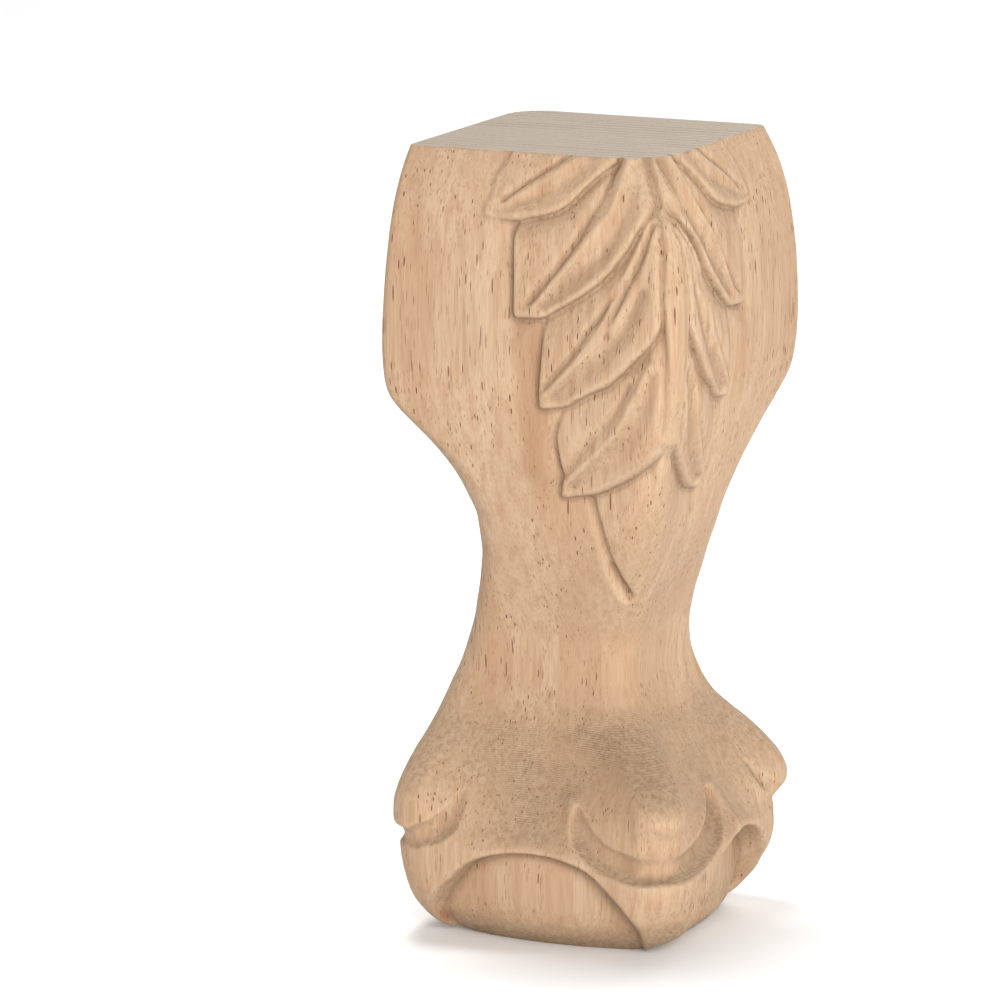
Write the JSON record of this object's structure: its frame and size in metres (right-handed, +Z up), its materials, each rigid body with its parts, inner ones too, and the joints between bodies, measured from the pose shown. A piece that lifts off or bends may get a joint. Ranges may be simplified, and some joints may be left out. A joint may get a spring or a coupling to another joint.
{
  "type": "carved furniture leg",
  "caption": "Short carved wooden furniture leg with a square knee block, a leaf on the front corner, a waisted ankle and a claw-and-ball foot; stands under a cabinet, sofa or box.",
  "frame": {"origin": "centre of the bounding box at the sole of the foot", "axes": "+Z up through the top face; the flanks face +X, -X, +Y and -Y, and the carved leaf wraps the corner between -Y and +X"},
  "size_m": [0.06, 0.06, 0.15],
  "materials": {
    "wood": "bare sanded, matte"
  },
  "bodies": {
    "root": {"leg": "wood"}
  },
  "joints": []
}
